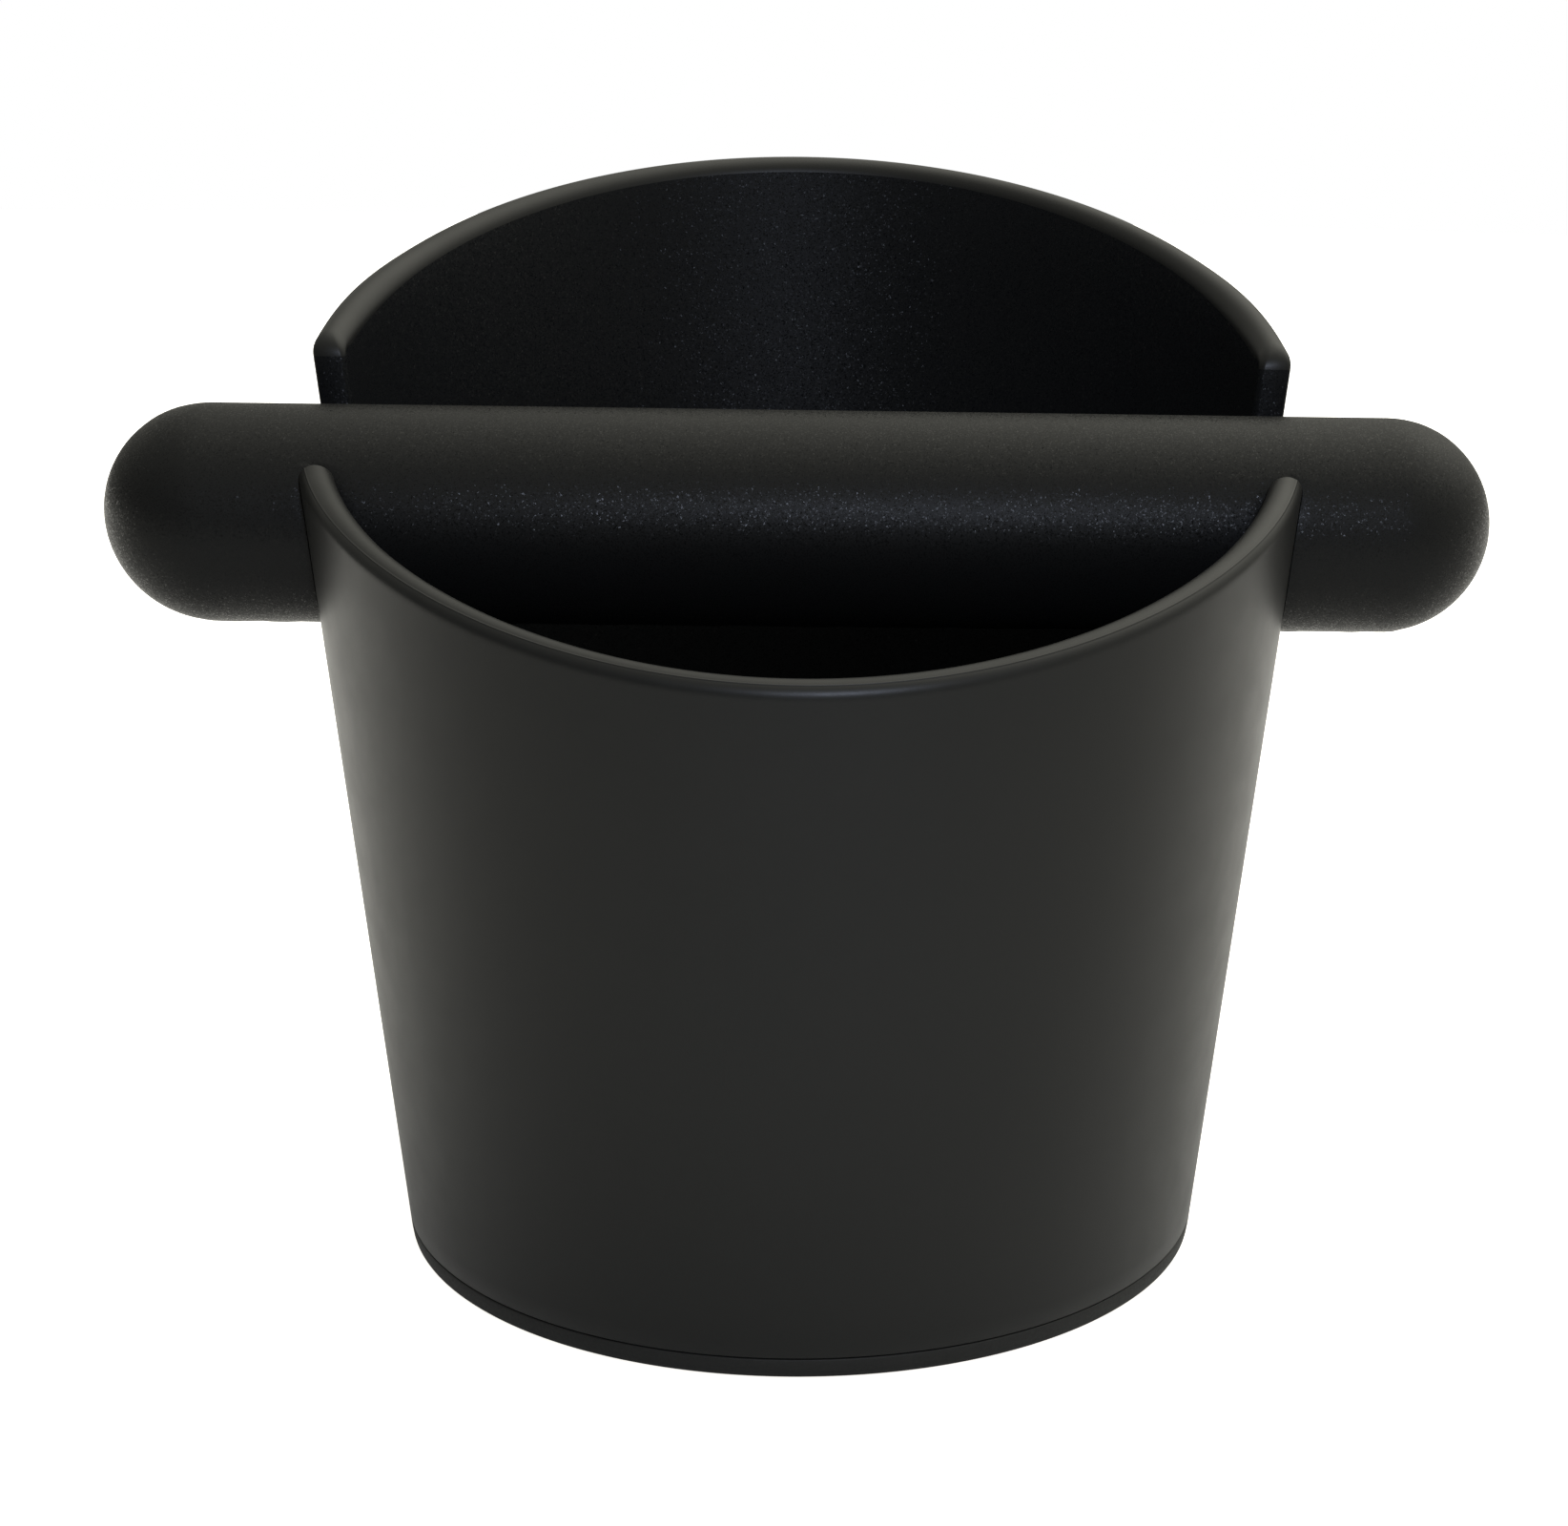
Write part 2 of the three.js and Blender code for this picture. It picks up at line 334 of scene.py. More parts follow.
def across_rim(point):
    """The (y, z, rho) points across the rim at one point of the path."""
    y, z, ny, nz, rounding, _ = point
    flat = WALL / 2 - rounding
    points = []
    for degrees in RIM_DEGREES:
        a = math.radians(degrees)
        size = rounding + ridge(degrees, rounding)
        depth = rounding - size * math.sin(a)
        side = 0.0 if degrees == 90 else math.copysign(flat, math.cos(a))
        points.append((y + ny * depth, z + nz * depth, side + size * math.cos(a)))
    return points


def wall_rows(point):
    """Heights of the wall's vertices under one point of the path, from the foot up to where
    the rounding starts. The columns at a slot's side share theirs, so that its edge is one
    clean line."""
    y, z, _, nz, rounding, down = point
    top = z + nz * rounding
    low_rows = [
        lerp(FOOT_Z + FOOT_EDGE, FOOT_ROWS_TOP_Z, i / FOOT_ROWS) for i in range(FOOT_ROWS + 1)
    ]
    if abs(y) < SLOT_HALF - TINY:
        return low_rows + [top] * (CHEEK_STEPS + 1)
    cheek_top = tip_circle(math.copysign(1, y))[1]
    if down is not None:
        levels = [lerp(BAR_Z, cheek_top, k / CHEEK_STEPS) for k in range(CHEEK_STEPS + 1)]
        return low_rows + [min(level, top) for level in levels]
    share = (BAR_Z - FOOT_ROWS_TOP_Z) / (cheek_top - FOOT_ROWS_TOP_Z)
    low = lerp(FOOT_ROWS_TOP_Z, top, share)
    return low_rows + [lerp(low, top, k / CHEEK_STEPS) for k in range(CHEEK_STEPS + 1)]


def tub_column(made, point, mirror):
    """Vertex numbers of one column, in two lists: from under the floor up the outside and
    over the rim, and on down the inside to the middle of the floor."""
    y, _, ny, _, rounding, _ = point
    side_y = y + ny * rounding
    fillet_z = FLOOR_Z + FLOOR_FILLET
    heights = wall_rows(point)[:-1]
    outside = [(side_y, z, WALL / 2) for z in heights]
    inside = [(side_y, z, -WALL / 2) for z in reversed(heights) if z > fillet_z]

    def on_wall(places):
        return [made.vertex(*wall_point(py, pz, rho, mirror)) for py, pz, rho in places]

    def at_this_angle(section):
        angle = math.asin(max(-1.0, min(1.0, side_y / MEAN_RIM_RADIUS)))
        c, s = math.cos(angle) * (-1 if mirror else 1), math.sin(angle)
        return [made.vertex(r * c, AXIS_Y + r * s, z) for r, z in section]

    skirt = SPIGOT_RADIUS + GAP
    foot_r = outer_radius(FOOT_Z)
    corner, edge = SOCKET_CORNER, SOCKET_EDGE
    underside = [(r, FLOOR_UNDERSIDE_Z) for r in UNDERSIDE_RINGS]
    underside += arc(skirt - corner, FLOOR_UNDERSIDE_Z - corner, corner, 90, 0, 3)
    underside += arc(skirt + edge, FOOT_Z + edge, edge, 180, 270, 3)
    underside += arc(foot_r - FOOT_EDGE, FOOT_Z + FOOT_EDGE, FOOT_EDGE, 270, 350, 4)
    fillet_r = outer_radius(fillet_z) - WALL - FLOOR_FILLET
    floor = arc(fillet_r, fillet_z, FLOOR_FILLET, 0, -90, 8)
    floor += [(r, FLOOR_Z) for r in FLOOR_RINGS]
    smooth_part = at_this_angle(underside) + on_wall(outside + across_rim(point))
    return smooth_part, on_wall(inside) + at_this_angle(floor)


def finish_end(point):
    """How many faces before the end of the rounding the smooth finish stops. In the slot it
    stops at the outer edge, because the mould's core forms the slot's faces."""
    in_slot = abs(point[0]) < SLOT_HALF + TINY
    return len(RIM_DEGREES) - 1 if in_slot else 0


def make_tub():
    """The tub, with the smooth finish first and the core's finish second."""
    made = Builder()
    path = rim_path()
    columns = [tub_column(made, p, False) for p in path]
    columns += [tub_column(made, p, True) for p in reversed(path)]
    rows = [smooth_part + inside for smooth_part, inside in columns]
    ends = [finish_end(point) for point in path + path[::-1]]
    starts = [len(column[0]) - 1 - end for column, end in zip(columns, ends)]
    made.grid(rows, starts)
    obj = made.object("tub_shell")
    shade(obj)
    return obj


# ---------------------------------------------------------------------------------------
# Foot ring
# ---------------------------------------------------------------------------------------

RING_STEPS = 256
BORE_EDGE = 0.0004
BORE_START_Z = 0.0006
FLANGE_MIDDLE_Z = 0.0015
FLANGE_FOOT_EDGE = 0.0006
FLANGE_TOP_EDGE = 0.0002
SPIGOT_EDGE = 0.0005


def make_ring():
    """The foot ring: a flange under the wall and a spigot in the socket above it."""
    top = RING_HIGH.z
    seam_z = FOOT_Z - RING_SEAM
    bore, foot, flange, spigot = BORE_EDGE, FLANGE_FOOT_EDGE, FLANGE_TOP_EDGE, SPIGOT_EDGE
    section = [(RING_BORE, BORE_START_Z)]
    section += arc(RING_BORE + bore, bore, bore, 180, 270, 3)
    section += arc(BASE_RADIUS - foot, foot, foot, 270, 354, 5)
    section += [(outer_radius(FLANGE_MIDDLE_Z), FLANGE_MIDDLE_Z)]
    section += arc(FLANGE_RADIUS - flange, seam_z - flange, flange, 6, 90, 3)
    section += [(SPIGOT_RADIUS, seam_z)]
    section += arc(SPIGOT_RADIUS - spigot, top - spigot, spigot, 0, 90, 3)
    section += arc(RING_BORE + bore, top - bore, bore, 90, 180, 3)
    section += [section[0]]
    obj = turned("foot_ring_rubber", section, RING_STEPS)
    shade(obj)
    return obj


# ---------------------------------------------------------------------------------------
# The bar's rubber
# ---------------------------------------------------------------------------------------

# It is drawn as lines along the bar, one for each angle round it, in degrees from +Y.
# Between the two faces of the wall each line steps in to the neck, which is as wide as the
# slot and round underneath. Along the top the neck is as big as the bar, so the rubber runs
# unbroken. Soft rubber hugs the wall: its grooves are the wall's own shape with a hair's
# gap, and BAR_EDGE rounds their edges.

BAR_EDGE = 0.0001
BAR_MIDDLE_STEPS = 26
BAR_END_STEPS = 8
BAR_CAP_STEPS = 22
NECK_HALF = SLOT_HALF - SEEN_GAP
BACK_NECK_TOP = math.degrees(math.acos(NECK_HALF / BAR_RADIUS))
GROOVE_END_HALF_WIDTH = 0.25
PAST_GROOVE_END = (1.0, 2.5, 4.5, 7.0)
ANGLE_STEP = 2.8
NARROWEST_GROOVE = 0.05

# The web of rubber at the mould's joint: its height at each angle, and its waves along the
# bar as (share, radians per metre, start).
FLASH_HALF_WIDTH = 0.9
FLASH_HEIGHTS = {90.0: 0.00005, 263.0: 0.00016}
FLASH_ENDS_AT = 0.3
FLASH_MEAN = 0.65
FLASH_WAVES = ((0.2, 913, 0.0), (0.15, 2371, 1.3))

TIP_Y, TIP_Z, _ = tip_circle(-1)
TIP_UP = TIP_Z - BAR_Z
TIP_REACH = TIP_ROUND + SEEN_GAP


def front_neck_top():
    """Angle round the bar, from +Y, at which the front groove ends in the bar's surface:
    there the surface meets the arc over the wall's corner."""
    away = math.hypot(TIP_Y, TIP_UP)
    cosine = (away**2 + BAR_RADIUS**2 - TIP_REACH**2) / (2 * away * BAR_RADIUS)
    return math.degrees(math.atan2(TIP_UP, TIP_Y) - math.acos(cosine))


FRONT_NECK_TOP = front_neck_top()


def bar_angles():
    """Angles round the bar in degrees from +Y, dense at the grooves' ends and at the two
    lines where the mould's halves met."""
    marks = [-90, 0, BACK_NECK_TOP, 180, 270, *FLASH_HEIGHTS]
    marks += [FRONT_NECK_TOP - GROOVE_END_HALF_WIDTH, FRONT_NECK_TOP + GROOVE_END_HALF_WIDTH]
    marks += [FRONT_NECK_TOP + past for past in PAST_GROOVE_END]
    marks.sort()
    angles = []
    for low, high in zip(marks, marks[1:]):
        steps = max(1, round((high - low) / ANGLE_STEP))
        angles += [lerp(low, high, i / steps) for i in range(steps)]
    for mark in FLASH_HEIGHTS:
        angles = [a for a in angles if abs(a - mark) > FLASH_HALF_WIDTH or a == mark]
        angles += [mark - FLASH_HALF_WIDTH, mark + FLASH_HALF_WIDTH]
    return sorted(angles)


def neck_radius(degrees):
    """Distance from the bar's axis to the bottom of the groove: round under the bar, upright
    at its sides, and following the wall's corner at the top of the front groove."""
    a = math.radians(degrees)
    c, s = math.cos(a), math.sin(a)
    if s < 0:
        return NECK_HALF
    if c > 0:
        return min(BAR_RADIUS, NECK_HALF / max(c, TINY))
    if degrees < FRONT_NECK_TOP:
        return BAR_RADIUS
    upright = NECK_HALF / max(-c, TINY)
    if upright * s < TIP_UP:
        return upright
    along = TIP_Y * c + TIP_UP * s
    aside = TIP_Y * s - TIP_UP * c
    return along - math.sqrt(max(0.0, TIP_REACH**2 - aside**2))


def groove_half_width(y, z):
    """Half the width of the groove. It narrows over the wall's corner, which is rounded."""
    full = WALL / 2 + SEEN_GAP
    if y > 0 or z < TIP_Z:
        return full
    depth = TIP_REACH - math.hypot(y - TIP_Y, z - TIP_Z)
    depth = min(max(depth, NARROWEST_GROOVE * full), full)
    return math.sqrt(full**2 - (full - depth) ** 2)


def groove_x(degrees, radius, side):
    """Where the groove's inboard (-1) or outboard (+1) face is, at a point of the bar."""
    a = math.radians(degrees)
    y, z = radius * math.cos(a), BAR_Z + radius * math.sin(a)
    wall_middle = outer_radius(z) - WALL / 2
    return math.sqrt((wall_middle + side * groove_half_width(y, z)) ** 2 - y * y)


def bar_line(degrees):
    """(x, radius) points of one line, from the bar's middle to its end."""
    neck = neck_radius(degrees)
    depth = BAR_RADIUS - neck
    edge = min(BAR_EDGE, depth / 2)
    inner_x = groove_x(degrees, BAR_RADIUS, -1)
    outer_x = groove_x(degrees, BAR_RADIUS, 1)
    line = []
    for i in range(BAR_MIDDLE_STEPS):
        line.append((lerp(0, inner_x - edge, i / BAR_MIDDLE_STEPS), BAR_RADIUS))
    line += arc(inner_x - edge, BAR_RADIUS - edge, edge, 90, 0, 4)
    foot_in = groove_x(degrees, neck, -1)
    foot_out = groove_x(degrees, neck, 1)
    line += [(foot_in, neck + edge / 2), (foot_in + edge / 2, neck)]
    line += [(lerp(foot_in, foot_out, 0.5), neck)]
    line += [(foot_out - edge / 2, neck), (foot_out, neck + edge / 2)]
    line += arc(outer_x + edge, BAR_RADIUS - edge, edge, 180, 90, 4)
    cap_x = BAR_HALF - BAR_RADIUS
    for i in range(1, BAR_END_STEPS):
        line.append((lerp(outer_x + edge, cap_x, i / BAR_END_STEPS), BAR_RADIUS))
    for i in range(BAR_CAP_STEPS):
        a = math.pi / 2 * i / BAR_CAP_STEPS
        line.append((cap_x + BAR_RADIUS * math.sin(a), BAR_RADIUS * math.cos(a)))
    line.append((BAR_HALF, 0.0))
    return line


def flash(degrees, x, radius):
    """How far the thin web of rubber left at the mould's joint stands out. It is a little
    uneven, and stops short of the middle of the bar's ends."""
    if radius < BAR_RADIUS * FLASH_ENDS_AT:
        return 0.0
    waviness = FLASH_MEAN
    for share, rate, start in FLASH_WAVES:
        waviness += share * math.sin(x * rate + start)
    height = 0.0
    for mark, most in FLASH_HEIGHTS.items():
        height += most * waviness * max(0.0, 1 - abs(degrees - mark) / FLASH_HALF_WIDTH)
    return height


def make_bar():
    """The bar's rubber."""
    made = Builder()
    centre_y = (BAR_LOW.y + BAR_HIGH.y) / 2
    rows = []
    for degrees in bar_angles():
        a = math.radians(degrees)
        c, s = math.cos(a), math.sin(a)
        line = bar_line(degrees)
        row = []
        for sign, points in ((-1, line[:0:-1]), (1, line)):
            for x, radius in points:
                size = radius + flash(degrees, sign * x, radius)
                row.append(made.vertex(sign * x, centre_y + size * c, BAR_Z + size * s))
        rows.append(row)
    made.grid(rows)
    obj = made.object("knock_bar_rubber")
    shade(obj, sharp_degrees=50)
    return obj


# ---------------------------------------------------------------------------------------
# Materials
# ---------------------------------------------------------------------------------------


def new_material(name, base, roughness, specular=0.5, metallic=0.0):
    """A material and its Principled shader, with constants on the shader's own sockets."""
    material = bpy.data.materials.new(name)
    material.use_nodes = True
    shader = material.node_tree.nodes["Principled BSDF"]
    shader.inputs["Base Color"].default_value = (*base, 1)
    shader.inputs["Roughness"].default_value = roughness
    shader.inputs["Specular IOR Level"].default_value = specular
    shader.inputs["Metallic"].default_value = metallic
    return material, shader


class Nodes:
    """Short calls for the nodes that the materials share."""

    def __init__(self, material):
        self.tree = material.node_tree
        self.place = self.tree.nodes.new("ShaderNodeTexCoord").outputs["Object"]

    def link(self, source, target):
        self.tree.links.new(source, target)

    def noise(self, scale, detail, roughness=0.5, stretch=None):
        """A noise from 0 to 1, as the object's own coordinates say, stretched or not."""
        node = self.tree.nodes.new("ShaderNodeTexNoise")
        node.inputs["Scale"].default_value = scale
        node.inputs["Detail"].default_value = detail
        node.inputs["Roughness"].default_value = roughness
        source = self.place
        if stretch:
            mapping = self.tree.nodes.new("ShaderNodeMapping")
            mapping.inputs["Scale"].default_value = stretch
            self.link(source, mapping.inputs["Vector"])
            source = mapping.outputs["Vector"]
        self.link(source, node.inputs["Vector"])
        return node.outputs["Fac"]

    def ramp(self, source, low, high, from_value, to_value):
        """Goes from one value to the other while the source goes from low to high."""
        node = self.tree.nodes.new("ShaderNodeMapRange")
        node.inputs["From Min"].default_value = low
        node.inputs["From Max"].default_value = high
        node.inputs["To Min"].default_value = from_value
        node.inputs["To Max"].default_value = to_value
        self.link(source, node.inputs["Value"])
        return node.outputs["Result"]

    def mix(self, factor, low, high):
        node = self.tree.nodes.new("ShaderNodeMix")
        node.data_type = "RGBA"
        node.inputs["A"].default_value = (*low, 1)
        node.inputs["B"].default_value = (*high, 1)
        self.link(factor, node.inputs["Factor"])
        return node.outputs["Result"]

    def math(self, operation, a, b):
        node = self.tree.nodes.new("ShaderNodeMath")
        node.operation = operation
        for socket, value in zip(node.inputs, (a, b)):
            if isinstance(value, (int, float)):
                socket.default_value = value
            else:
                self.link(value, socket)
        return node.outputs["Value"]

    def facets(self, scale, tilt, share, normal):
        """Tilts a normal by its own random amount in each of many small cells, in full where
        the share is 1."""
        cells = self.tree.nodes.new("ShaderNodeTexVoronoi")
        cells.inputs["Scale"].default_value = scale
        self.link(self.place, cells.inputs["Vector"])
        turn = self.tree.nodes.new("ShaderNodeVectorMath")
        turn.operation = "MULTIPLY_ADD"
        turn.inputs[1].default_value = (tilt, tilt, tilt)
        turn.inputs[2].default_value = (-tilt / 2, -tilt / 2, -tilt / 2)
        self.link(cells.outputs["Color"], turn.inputs[0])
        shared = self.tree.nodes.new("ShaderNodeVectorMath")
        shared.operation = "SCALE"
        self.link(turn.outputs["Vector"], shared.inputs[0])
        self.link(share, shared.inputs["Scale"])
        added = self.tree.nodes.new("ShaderNodeVectorMath")
        self.link(shared.outputs["Vector"], added.inputs[0])
        self.link(normal, added.inputs[1])
        unit = self.tree.nodes.new("ShaderNodeVectorMath")
        unit.operation = "NORMALIZE"
        self.link(added.outputs["Vector"], unit.inputs[0])
        return unit.outputs["Vector"]

    def bump(self, height, distance):
        """The normal of a surface raised by the height times the distance, in metres."""
        node = self.tree.nodes.new("ShaderNodeBump")
        node.inputs["Distance"].default_value = distance
        self.link(height, node.inputs["Height"])
        return node.outputs["Normal"]


# Two of the finishes glitter: they have sparse shiny specks, each tilted its own way. A speck
# fades in where its noise rises through the two levels.
SPECK_SCALE = 5200
SPECK_LEVELS = (0.50, 0.58)
SPECK_ROUGHNESS = 0.26
FACET_SCALE = 4600
GRAIN_HEIGHT = 0.000006


def add_glitter(nodes, shader, dull, grain_scale, tilt):
    """Gives a shader the specks, over a surface of the dull roughness with a fine grain."""
    specks = nodes.noise(SPECK_SCALE, detail=1)
    share = nodes.ramp(specks, *SPECK_LEVELS, 0.0, 1.0)
    rough = nodes.ramp(specks, *SPECK_LEVELS, dull, SPECK_ROUGHNESS)
    nodes.link(rough, shader.inputs["Roughness"])
    fine = nodes.noise(grain_scale, detail=2, roughness=0.6)
    normal = nodes.facets(FACET_SCALE, tilt, share, nodes.bump(fine, GRAIN_HEIGHT))
    nodes.link(normal, shader.inputs["Normal"])


def tub_plastic():
    """Black satin plastic with a fine moulded grain."""
    base = (0.009, 0.009, 0.009)
    material, shader = new_material("tub_plastic", base, roughness=0.38, specular=0.32)
    nodes = Nodes(material)
    cloud = nodes.noise(38, detail=3)
    tint = nodes.mix(cloud, (0.0078, 0.0082, 0.0082), (0.0102, 0.0104, 0.0102))
    nodes.link(tint, shader.inputs["Base Color"])
    wear = nodes.noise(160, detail=4, roughness=0.6)
    rough = nodes.ramp(wear, 0.3, 0.7, 0.355, 0.405)
    nodes.link(rough, shader.inputs["Roughness"])
    fine = nodes.noise(5200, detail=2, roughness=0.6)
    nodes.link(nodes.bump(fine, 0.000009), shader.inputs["Normal"])
    return material


def tub_plastic_inside():
    """The same plastic with the coarser, duller spark-eroded grain of the mould's core."""
    base = (0.009, 0.009, 0.009)
    material, shader = new_material("tub_plastic_inside", base, roughness=0.42, specular=0.10)
    nodes = Nodes(material)
    cloud = nodes.noise(38, detail=3)
    tint = nodes.mix(cloud, (0.0064, 0.0070, 0.0082), (0.0078, 0.0084, 0.0096))
    nodes.link(tint, shader.inputs["Base Color"])
    add_glitter(nodes, shader, dull=0.46, grain_scale=5200, tilt=0.54)
    return material


def bar_rubber():
    """Matt black rubber with a spark-eroded grain that glitters in a hard light."""
    base = (0.010, 0.010, 0.010)
    material, shader = new_material("bar_rubber", base, roughness=0.56, specular=0.155)
    nodes = Nodes(material)
    cloud = nodes.noise(30, detail=3)
    tint = nodes.mix(cloud, (0.0078, 0.0081, 0.0083), (0.0098, 0.0100, 0.0101))
    nodes.link(tint, shader.inputs["Base Color"])
    add_glitter(nodes, shader, dull=0.45, grain_scale=6000, tilt=0.32)
    return material


def ring_rubber():
    """Smooth matt rubber."""
    base = (0.006, 0.006, 0.006)
    material, shader = new_material("ring_rubber", base, roughness=0.58, specular=0.4)
    nodes = Nodes(material)
    cloud = nodes.noise(60, detail=3)
    tint = nodes.mix(cloud, (0.0070, 0.0074, 0.0076), (0.0086, 0.0090, 0.0092))
    nodes.link(tint, shader.inputs["Base Color"])
    grain = nodes.noise(2600, detail=3, roughness=0.6)
    rough = nodes.ramp(grain, 0.35, 0.65, 0.52, 0.64)
    nodes.link(rough, shader.inputs["Roughness"])
    nodes.link(nodes.bump(grain, 0.00002), shader.inputs["Normal"])
    return material


def core_steel():
    """Drawn steel, with fine lines along the rod."""
    base = (0.52, 0.53, 0.54)
    material, shader = new_material("core_steel", base, roughness=0.34, metallic=1.0)
    nodes = Nodes(material)
    lines = nodes.noise(700, detail=3, roughness=0.6, stretch=(0.02, 1.0, 1.0))
    tint = nodes.mix(lines, (0.46, 0.47, 0.48), (0.60, 0.61, 0.62))
    nodes.link(tint, shader.inputs["Base Color"])
    rough = nodes.ramp(lines, 0.35, 0.65, 0.26, 0.42)
    nodes.link(rough, shader.inputs["Roughness"])
    nodes.link(nodes.bump(lines, 0.00001), shader.inputs["Normal"])
    return material


# ---------------------------------------------------------------------------------------
# The object
# ---------------------------------------------------------------------------------------


def dress(obj, materials, body, node):
    """Gives a piece its materials and the body it moves with, and hides the CAD node it
    stands for.
    """
    for material in materials:
        obj.data.materials.append(material)
    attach(obj, body)
    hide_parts(node)


dress(make_tub(), [tub_plastic(), tub_plastic_inside()], "tub_body", "tub")
dress(make_ring(), [ring_rubber()], "tub_body", "base_ring")
dress(make_bar(), [bar_rubber()], "knock_bar", "bar_sleeve")

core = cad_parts["bar_core"]
core.data.materials.clear()
core.data.materials.append(core_steel())

# ---------------------------------------------------------------------------------------
# Floor, light and camera
# ---------------------------------------------------------------------------------------

# The paper glows a little: towards the back, where the studio's wall lights it, and for the
# camera, so that it looks white.
FLOOR_COLOUR = (0.7, 0.7, 0.7)
FLOOR_GLOW_FROM_Y = -0.08
FLOOR_GLOW_TO_Y = 0.25
FLOOR_GLOW = 0.72
FLOOR_SEEN_GLOW = 0.80
FLOOR_FRONT_Y = -0.45
FLOOR_RADIUS = 3.0
FLOOR_STEPS = 96
FLOOR_GLOW_COLOUR = (1, 0.975, 0.92)


def make_floor():
    """A sheet of pale paper that the object stands on, straight in front and round behind."""
    made = Builder()
    ring = []
    for i in range(FLOOR_STEPS):
        a = 2 * math.pi * i / FLOOR_STEPS
        y = max(FLOOR_FRONT_Y, FLOOR_RADIUS * math.sin(a))
        ring.append(made.vertex(FLOOR_RADIUS * math.cos(a), y, 0))
    made.face(ring)
    floor = made.object("floor")
    material, shader = new_material("floor_paper", FLOOR_COLOUR, roughness=0.9)
    shader.inputs["Emission Color"].default_value = (*FLOOR_GLOW_COLOUR, 1)
    nodes = Nodes(material)
    split = nodes.tree.nodes.new("ShaderNodeSeparateXYZ")
    nodes.link(nodes.place, split.inputs["Vector"])
    glow = nodes.ramp(split.outputs["Y"], FLOOR_GLOW_FROM_Y, FLOOR_GLOW_TO_Y, 0.0, FLOOR_GLOW)
    rays = nodes.tree.nodes.new("ShaderNodeLightPath")
    seen = nodes.math("MULTIPLY", rays.outputs["Is Camera Ray"], FLOOR_SEEN_GLOW)
    nodes.link(nodes.math("ADD", glow, seen), shader.inputs["Emission Strength"])
    floor.data.materials.append(material)


# The studio is one big soft light, high up and a little behind and to the right. These are
# its brightness by the cosine of a direction's angle from its middle.
STUDIO_MIDDLE = Vector((0.42, 0.20, 0.88)).normalized()
STUDIO = (
    (-1.0, 0.10),
    (-0.3, 0.12),
    (0.0, 0.25),
    (0.3, 0.42),
    (0.57, 0.52),
    (0.74, 0.90),
    (0.87, 1.50),
    (1.0, 2.5),
)
STUDIO_TINT = (1.0, 0.985, 0.87)


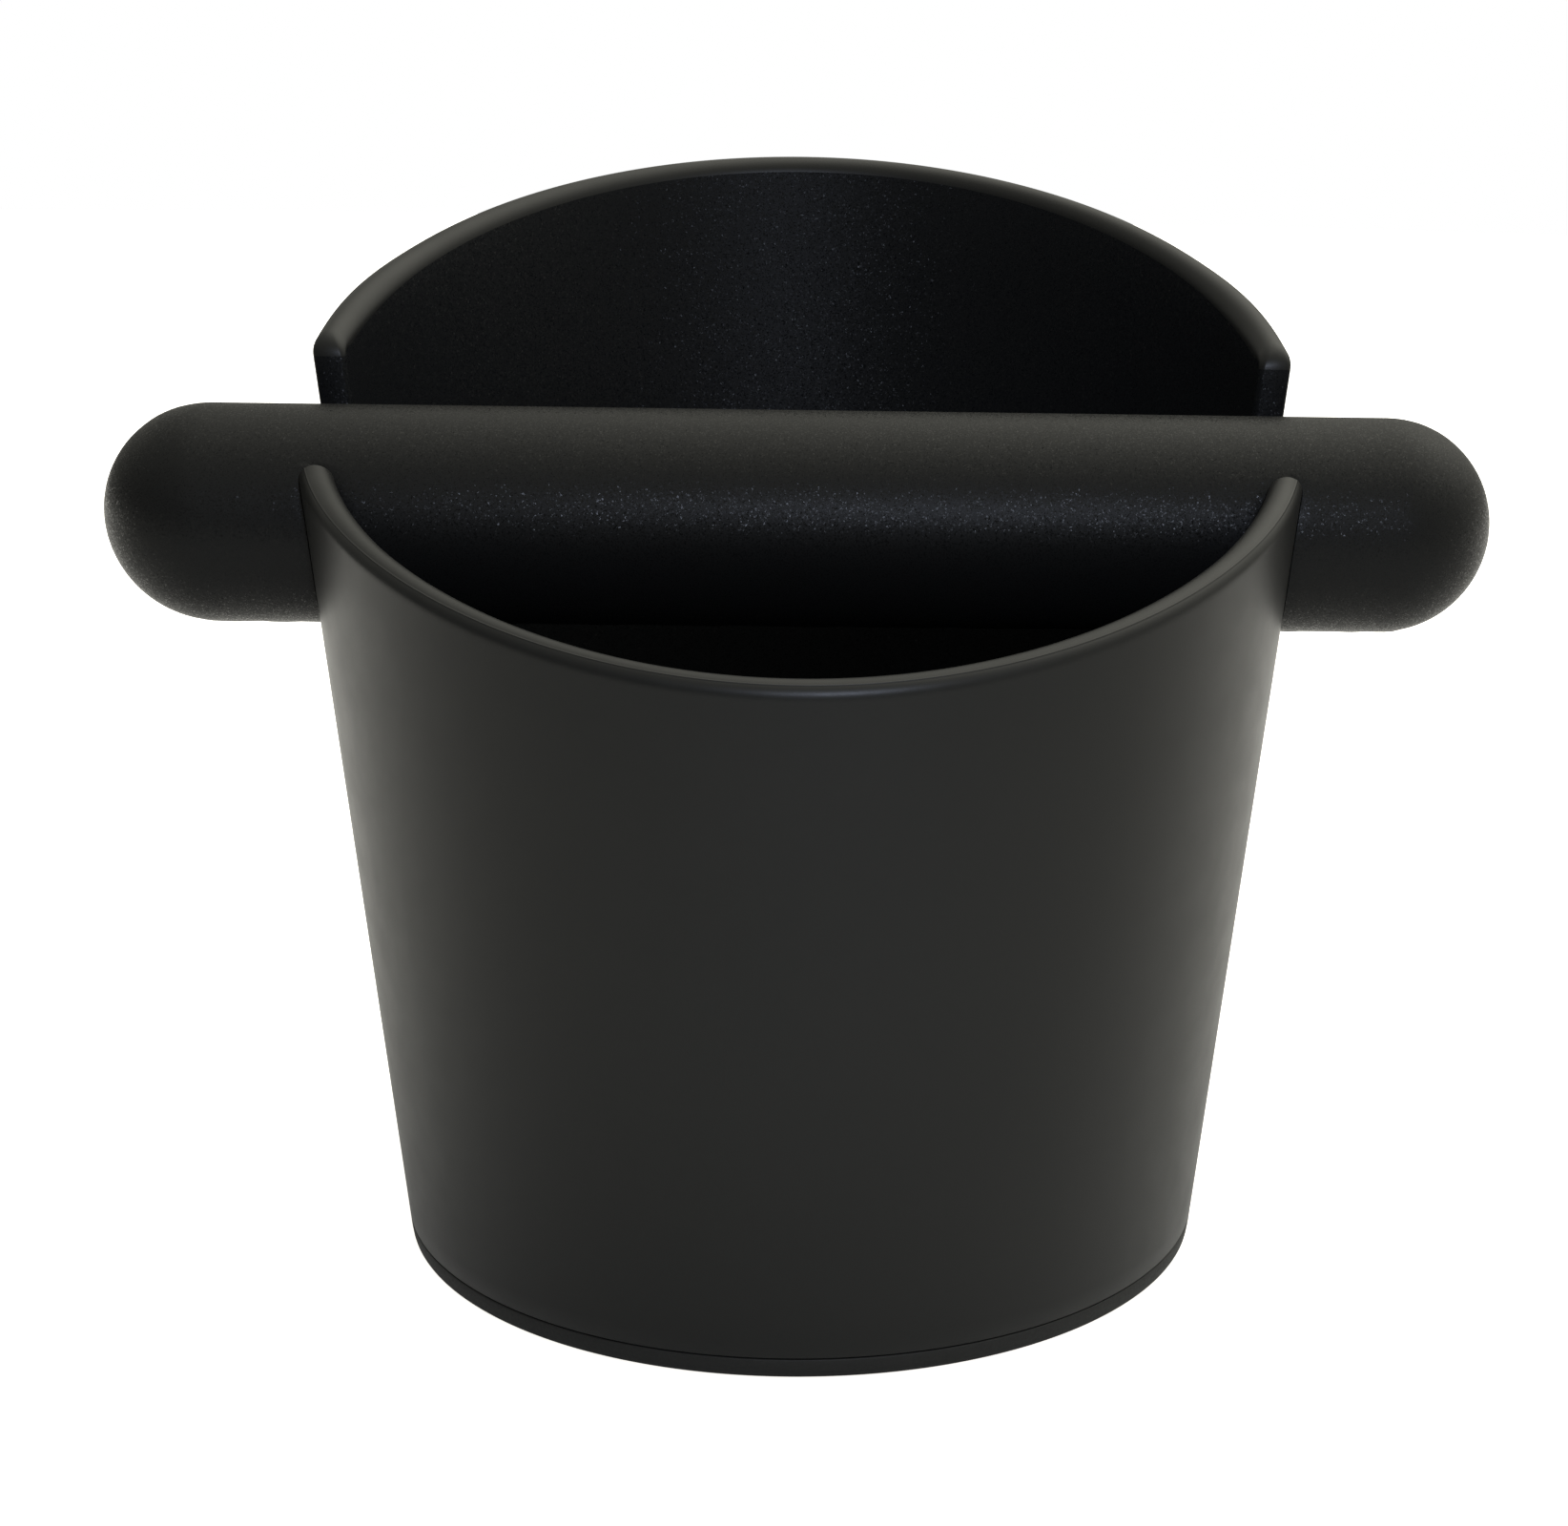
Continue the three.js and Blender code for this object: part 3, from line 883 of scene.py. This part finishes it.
def make_world():
    """The soft light all round, and plain white where the camera looks past the floor."""
    world = bpy.data.worlds.new("studio")
    bpy.context.scene.world = world
    world.use_nodes = True
    tree = world.node_tree
    background = tree.nodes["Background"]
    place = tree.nodes.new("ShaderNodeTexCoord").outputs["Generated"]
    away = tree.nodes.new("ShaderNodeVectorMath")
    away.operation = "DOT_PRODUCT"
    away.inputs[1].default_value = STUDIO_MIDDLE
    tree.links.new(place, away.inputs[0])
    share = tree.nodes.new("ShaderNodeMapRange")
    share.inputs["From Min"].default_value = -1.0
    tree.links.new(away.outputs["Value"], share.inputs["Value"])
    fade = tree.nodes.new("ShaderNodeFloatCurve")
    curve = fade.mapping.curves[0]
    brightest = STUDIO[-1][1]
    places = [((cosine + 1) / 2, value / brightest) for cosine, value in STUDIO]
    for x, y in places[1:-1]:
        curve.points.new(x, y)
    curve.points[0].location = places[0]
    curve.points[-1].location = places[-1]
    fade.mapping.update()
    tree.links.new(share.outputs["Result"], fade.inputs["Value"])
    strength = tree.nodes.new("ShaderNodeMath")
    strength.operation = "MULTIPLY"
    strength.inputs[1].default_value = brightest
    tree.links.new(fade.outputs["Value"], strength.inputs[0])
    tree.links.new(strength.outputs["Value"], background.inputs["Strength"])
    background.inputs["Color"].default_value = (*STUDIO_TINT, 1)

    seen = tree.nodes.new("ShaderNodeBackground")
    seen.inputs["Color"].default_value = (1, 1, 1, 1)
    switch = tree.nodes.new("ShaderNodeMixShader")
    rays = tree.nodes.new("ShaderNodeLightPath")
    tree.links.new(rays.outputs["Is Camera Ray"], switch.inputs["Fac"])
    tree.links.new(background.outputs["Background"], switch.inputs[1])
    tree.links.new(seen.outputs["Background"], switch.inputs[2])
    tree.links.new(switch.outputs["Shader"], tree.nodes["World Output"].inputs["Surface"])


def make_lamp(name, place, target, size, power, colour):
    """A small round lamp that points at its target."""
    light = bpy.data.lights.new(name, "AREA")
    light.shape = "DISK"
    light.size = size
    light.energy = power
    light.color = colour
    lamp = bpy.data.objects.new(name, light)
    bpy.context.scene.collection.objects.link(lamp)
    lamp.location = place
    lamp.rotation_euler = (target - place).to_track_quat("-Z", "Y").to_euler()


# The camera's place, angles and lens were fitted to the object's outline in the photograph.
# The shift was held at a tenth of the frame, about half of what the best fit asked for, so
# that the views from other sides keep the whole object in the frame.
CAMERA_PLACE = Vector((0.00119, AXIS_Y - 0.33955, 0.14816))
CAMERA_PITCH = math.radians(17.380)
CAMERA_YAW = math.radians(-2.802)
CAMERA_ROLL = math.radians(1.095)
LENS_MM = 60.26
LENS_SHIFT = (-0.0965, 0.0976)


def make_camera():
    """The camera at the photograph's angle."""
    data = bpy.data.cameras.new("camera")
    data.lens = LENS_MM
    data.sensor_width = 36
    data.shift_x, data.shift_y = LENS_SHIFT
    data.clip_start = 0.01
    data.clip_end = 20
    camera = bpy.data.objects.new("camera", data)
    bpy.context.scene.collection.objects.link(camera)
    aim = Euler((math.pi / 2 - CAMERA_PITCH, 0, CAMERA_YAW)).to_matrix()
    roll = Euler((0, 0, CAMERA_ROLL)).to_matrix()
    camera.rotation_euler = (aim @ roll).to_euler()
    camera.location = CAMERA_PLACE
    bpy.context.scene.camera = camera


# A small cool light, just above the camera and to its right, that the specks catch.
LAMP_PLACE = CAMERA_PLACE + Vector((0.035, 0, 0.06))
LAMP_TARGET = Vector((0, AXIS_Y, BAR_Z))
LAMP_SIZE = 0.03
LAMP_WATTS = 0.29
LAMP_COLOUR = (0.72, 0.80, 1.0)

make_floor()
make_world()
make_camera()
make_lamp("flash", LAMP_PLACE, LAMP_TARGET, LAMP_SIZE, LAMP_WATTS, LAMP_COLOUR)
bpy.context.scene.view_settings.view_transform = "Standard"
